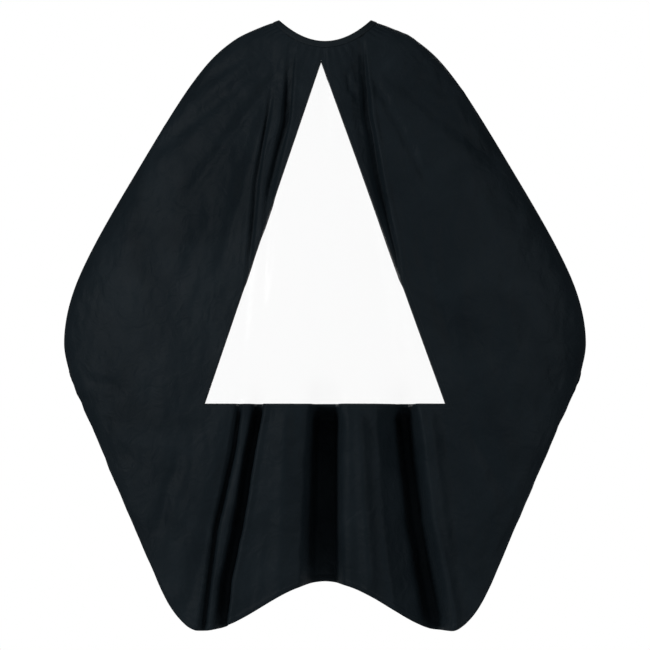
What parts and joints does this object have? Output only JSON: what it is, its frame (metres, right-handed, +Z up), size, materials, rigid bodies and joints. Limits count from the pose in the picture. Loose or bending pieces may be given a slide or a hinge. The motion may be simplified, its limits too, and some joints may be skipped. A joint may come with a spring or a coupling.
{
  "type": "barber cape",
  "caption": "Black barber cape as worn: clear triangular window in front, snap-adjusted neckband, back split in two flaps that swing open.",
  "frame": {"origin": "middle of the neck opening, level with the top of the neckband at its two sides", "axes": "+Z up, +X to the wearer's left, +Y towards the wearer's back; the wearer faces -Y"},
  "size_m": [1.2006, 0.3197, 1.401],
  "materials": {
    "nylon": "plain-woven nylon with a soft sheen",
    "clear_film": "clear flexible vinyl film",
    "binding_tape": "matte woven tape",
    "grip_rubber": "soft matte grip strip",
    "stiffener": "pressed felt interlining",
    "snap_metal": "black-lacquered brass, satin",
    "post_metal": "plain nickel",
    "label_cloth": "blank woven satin"
  },
  "bodies": {
    "cape": {"front_panel_left": "nylon", "front_panel_right": "nylon", "front_panel_lower": "nylon", "shoulder_panel_left": "nylon", "shoulder_panel_right": "nylon", "side_panel_left": "nylon", "side_panel_right": "nylon", "back_panel_left": "nylon", "back_panel_right": "nylon", "window_film": "clear_film", "window_tape_left": "binding_tape", "window_tape_right": "binding_tape", "window_tape_bottom": "binding_tape", "neckband_outer_front": "nylon", "neckband_stiffener_front": "stiffener", "neckband_grip_front": "grip_rubber"},
    "left_back": {"back_flap_left": "nylon", "neckband_outer_left": "nylon", "neckband_stiffener_left": "stiffener", "neckband_grip_left": "grip_rubber", "snap_stud_1": "snap_metal", "snap_stud_2": "snap_metal", "snap_stud_3": "snap_metal", "snap_stud_4": "snap_metal", "snap_stud_5": "snap_metal", "snap_post_1": "post_metal", "snap_post_2": "post_metal", "snap_post_3": "post_metal", "snap_post_4": "post_metal", "snap_post_5": "post_metal"},
    "right_back": {"back_flap_right": "nylon", "neckband_outer_right": "nylon", "neckband_stiffener_right": "stiffener", "neckband_grip_right": "grip_rubber", "care_label": "label_cloth"},
    "snap_tab": {"snap_tab_outer": "nylon", "snap_tab_lining": "nylon", "snap_socket_1": "snap_metal", "snap_socket_2": "snap_metal", "snap_cap_1": "snap_metal", "snap_cap_2": "snap_metal"}
  },
  "joints": [
    {"name": "left_back_swing", "type": "hinge", "parent": "cape", "child": "left_back", "pos_m": [0.08309, 0.03384, -0.01769], "axis": [0.497, 0.0632, -0.8655], "range_deg": [0, 70]},
    {"name": "right_back_swing", "type": "hinge", "parent": "cape", "child": "right_back", "pos_m": [-0.08309, 0.03384, -0.01769], "axis": [0.497, -0.0632, 0.8655], "range_deg": [0, 70]},
    {"name": "tab_lift", "type": "hinge", "parent": "right_back", "child": "snap_tab", "pos_m": [0, 0.05385, -0.04725], "axis": [0, -0.3747, 0.9271], "range_deg": [0, 75]}
  ],
  "couplings": [
    {"joint": "right_back_swing", "follows": "left_back_swing", "ratio": 1}
  ]
}
